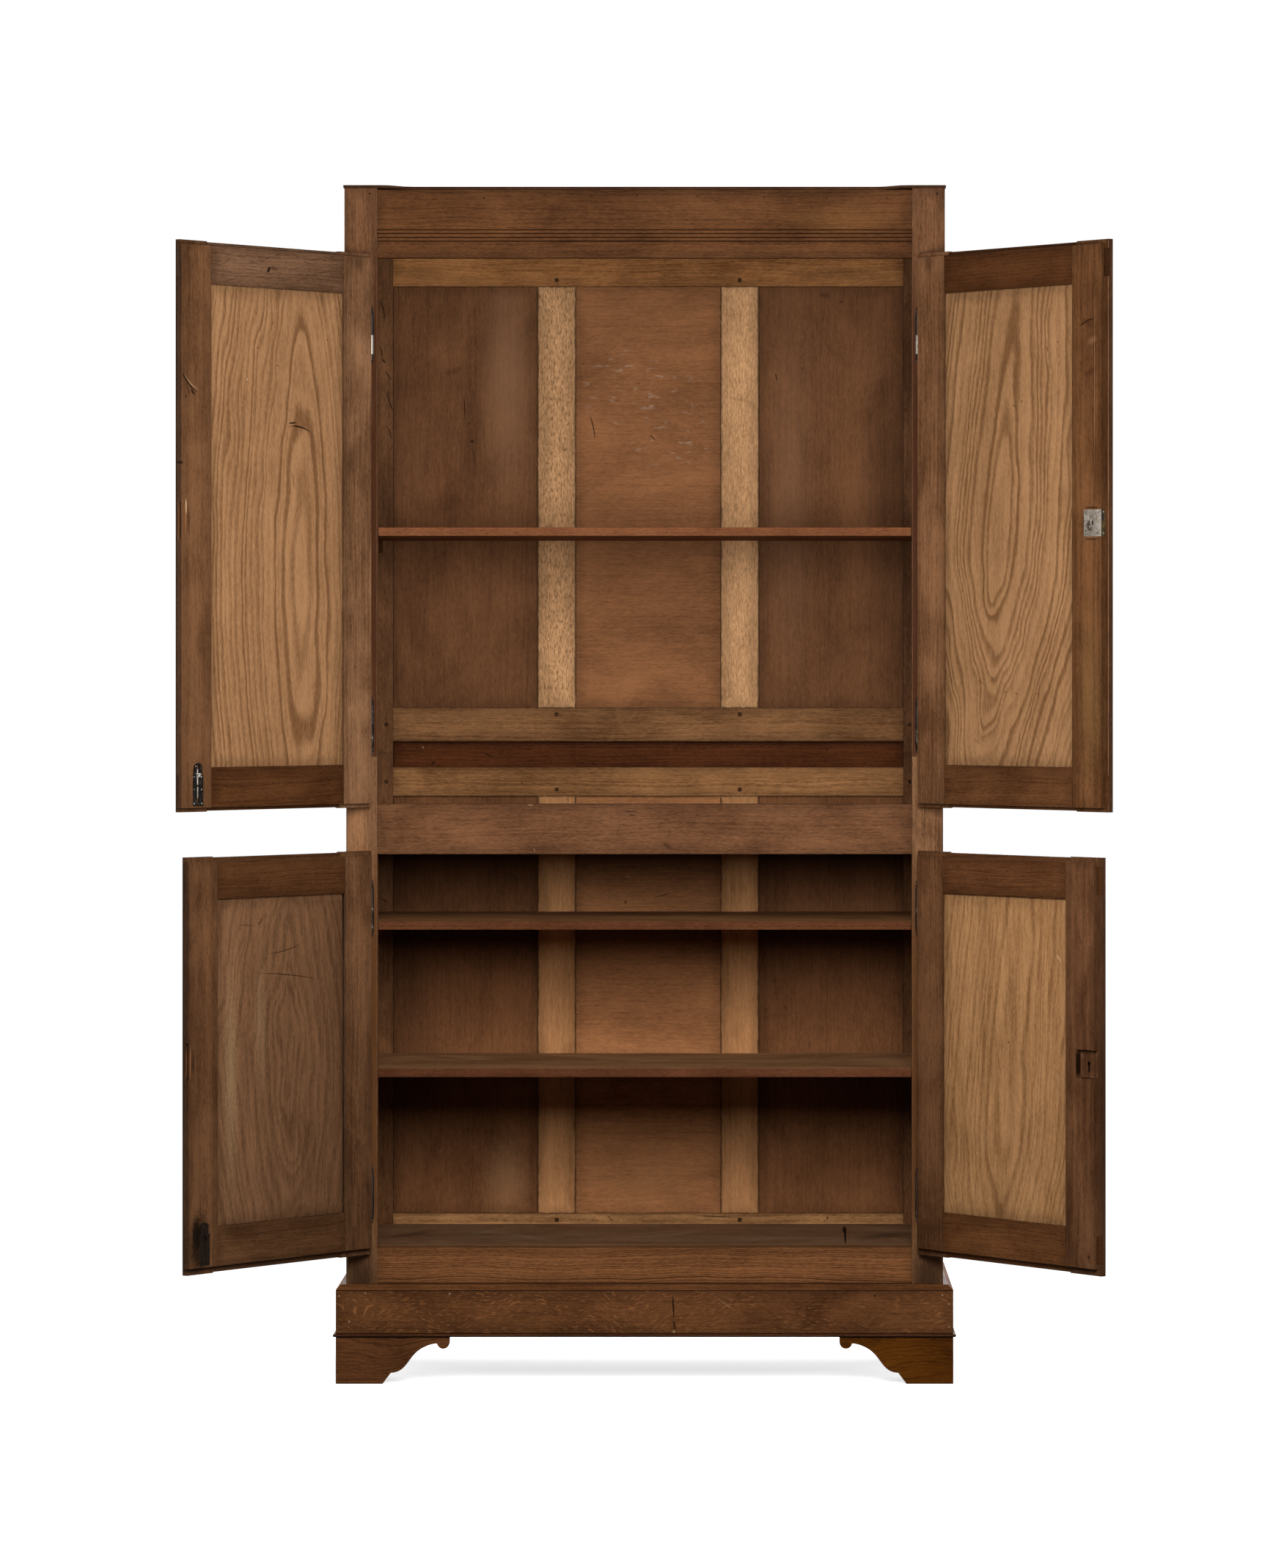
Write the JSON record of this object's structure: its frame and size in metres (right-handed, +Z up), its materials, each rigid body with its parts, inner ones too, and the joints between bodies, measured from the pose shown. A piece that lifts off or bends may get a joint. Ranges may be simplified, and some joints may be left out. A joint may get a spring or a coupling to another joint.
{
  "type": "linen press",
  "caption": "Free-standing two-stage oak cupboard on a plinth with bracket feet, framed panel doors standing open on pin hinges, shelves inside, reeded frieze.",
  "frame": {"origin": "on the floor, on the centre line of the case, in the middle of the depth taken up with the doors standing open", "axes": "+Z up, -Y out of the front, +X to the viewer's right when facing the front"},
  "size_m": [1.602, 0.862, 2.122],
  "materials": {
    "case_oak": "aged waxed oak, straight grain",
    "side_oak": "aged waxed oak",
    "plinth_oak": "waxed quartersawn oak with flecks",
    "door_frame_oak": "worn oak, thin wax",
    "door_panel_oak": "dry flat-sawn oak",
    "back_rail_oak": "oak, dull",
    "muntin_oak": "light dry oak",
    "back_panel_wood": "thin plain boards, dull",
    "strip_wood": "dark reddish board, dull",
    "shelf_wood": "pine boards, dusty",
    "peg_wood": "dark end grain",
    "hinge_iron": "rubbed iron",
    "bolt_iron": "dark iron",
    "bolt_steel": "rubbed steel",
    "lock_steel": "dull steel, rust spots",
    "lock_brass": "dull brass"
  },
  "bodies": {
    "case": {"plinth_front_board": "plinth_oak", "plinth_side_boards": "plinth_oak", "plinth_back_board": "plinth_oak", "plinth_cap": "plinth_oak", "plinth_bead": "plinth_oak", "left_front_foot": "plinth_oak", "right_front_foot": "plinth_oak", "back_feet": "plinth_oak", "bottom_rail": "case_oak", "mid_rail": "case_oak", "frieze": "case_oak", "top_board": "case_oak", "lower_front_posts": "case_oak", "lower_back_posts": "back_rail_oak", "lower_side_rails": "side_oak", "lower_side_panels": "side_oak", "lower_back_rails": "back_rail_oak", "lower_back_muntins": "muntin_oak", "lower_back_panels": "back_panel_wood", "upper_front_posts": "case_oak", "upper_back_posts": "back_rail_oak", "upper_side_rails": "side_oak", "upper_side_panels": "side_oak", "upper_back_rails": "back_rail_oak", "upper_back_muntins": "muntin_oak", "upper_back_panels": "back_panel_wood", "back_pegs": "peg_wood", "join_strip": "strip_wood", "floor_boards": "shelf_wood", "shelf_cleats": "shelf_wood", "lower_shelf": "shelf_wood", "middle_shelf": "shelf_wood", "upper_shelf": "shelf_wood", "case_hinges": "hinge_iron"},
    "upper_left_door": {"upper_left_door_hinge_stile": "door_frame_oak", "upper_left_door_free_stile": "door_frame_oak", "upper_left_door_rails": "door_frame_oak", "upper_left_door_panel": "door_panel_oak", "upper_left_door_hinges": "hinge_iron", "upper_bolt_plate": "bolt_iron"},
    "upper_flush_bolt": {"upper_bolt_rod": "bolt_steel"},
    "upper_right_door": {"upper_right_door_hinge_stile": "door_frame_oak", "upper_right_door_free_stile": "door_frame_oak", "upper_right_door_rails": "door_frame_oak", "upper_right_door_panel": "door_panel_oak", "upper_right_door_hinges": "hinge_iron", "lock_case": "lock_steel"},
    "lock_bolt": {"lock_bolt": "lock_brass"},
    "lower_left_door": {"lower_left_door_hinge_stile": "door_frame_oak", "lower_left_door_free_stile": "door_frame_oak", "lower_left_door_rails": "door_frame_oak", "lower_left_door_panel": "door_panel_oak", "lower_left_door_hinges": "hinge_iron", "lower_bolt_plate": "bolt_iron"},
    "lower_flush_bolt": {"lower_bolt_rod": "bolt_steel"},
    "lower_right_door": {"lower_right_door_hinge_stile": "door_frame_oak", "lower_right_door_free_stile": "door_frame_oak", "lower_right_door_rails": "door_frame_oak", "lower_right_door_panel": "door_panel_oak", "lower_right_door_hinges": "hinge_iron"}
  },
  "joints": [
    {"name": "upper_left_hinge", "type": "hinge", "parent": "case", "child": "upper_left_door", "pos_m": [-0.484, -0.04237, 1.5105], "axis": [0, 0, -1], "range_deg": [-130.4, 44.6]},
    {"name": "upper_right_hinge", "type": "hinge", "parent": "case", "child": "upper_right_door", "pos_m": [0.484, -0.04237, 1.5105], "axis": [0, 0, 1], "range_deg": [-130.4, 44.6]},
    {"name": "lower_left_hinge", "type": "hinge", "parent": "case", "child": "lower_left_door", "pos_m": [-0.484, -0.04237, 0.5875], "axis": [0, 0, -1], "range_deg": [-128.4, 46.6]},
    {"name": "lower_right_hinge", "type": "hinge", "parent": "case", "child": "lower_right_door", "pos_m": [0.484, -0.04237, 0.5875], "axis": [0, 0, 1], "range_deg": [-128.4, 46.6]},
    {"name": "upper_bolt_slide", "type": "slide", "parent": "upper_left_door", "child": "upper_flush_bolt", "axis": [0, 0, -1], "range_m": [0, 0.01]},
    {"name": "lower_bolt_slide", "type": "slide", "parent": "lower_left_door", "child": "lower_flush_bolt", "axis": [0, 0, -1], "range_m": [0, 0.01]},
    {"name": "lock_bolt_slide", "type": "slide", "parent": "upper_right_door", "child": "lock_bolt", "axis": [0.6481, -0.7615, 0], "range_m": [0, 0.006]}
  ]
}
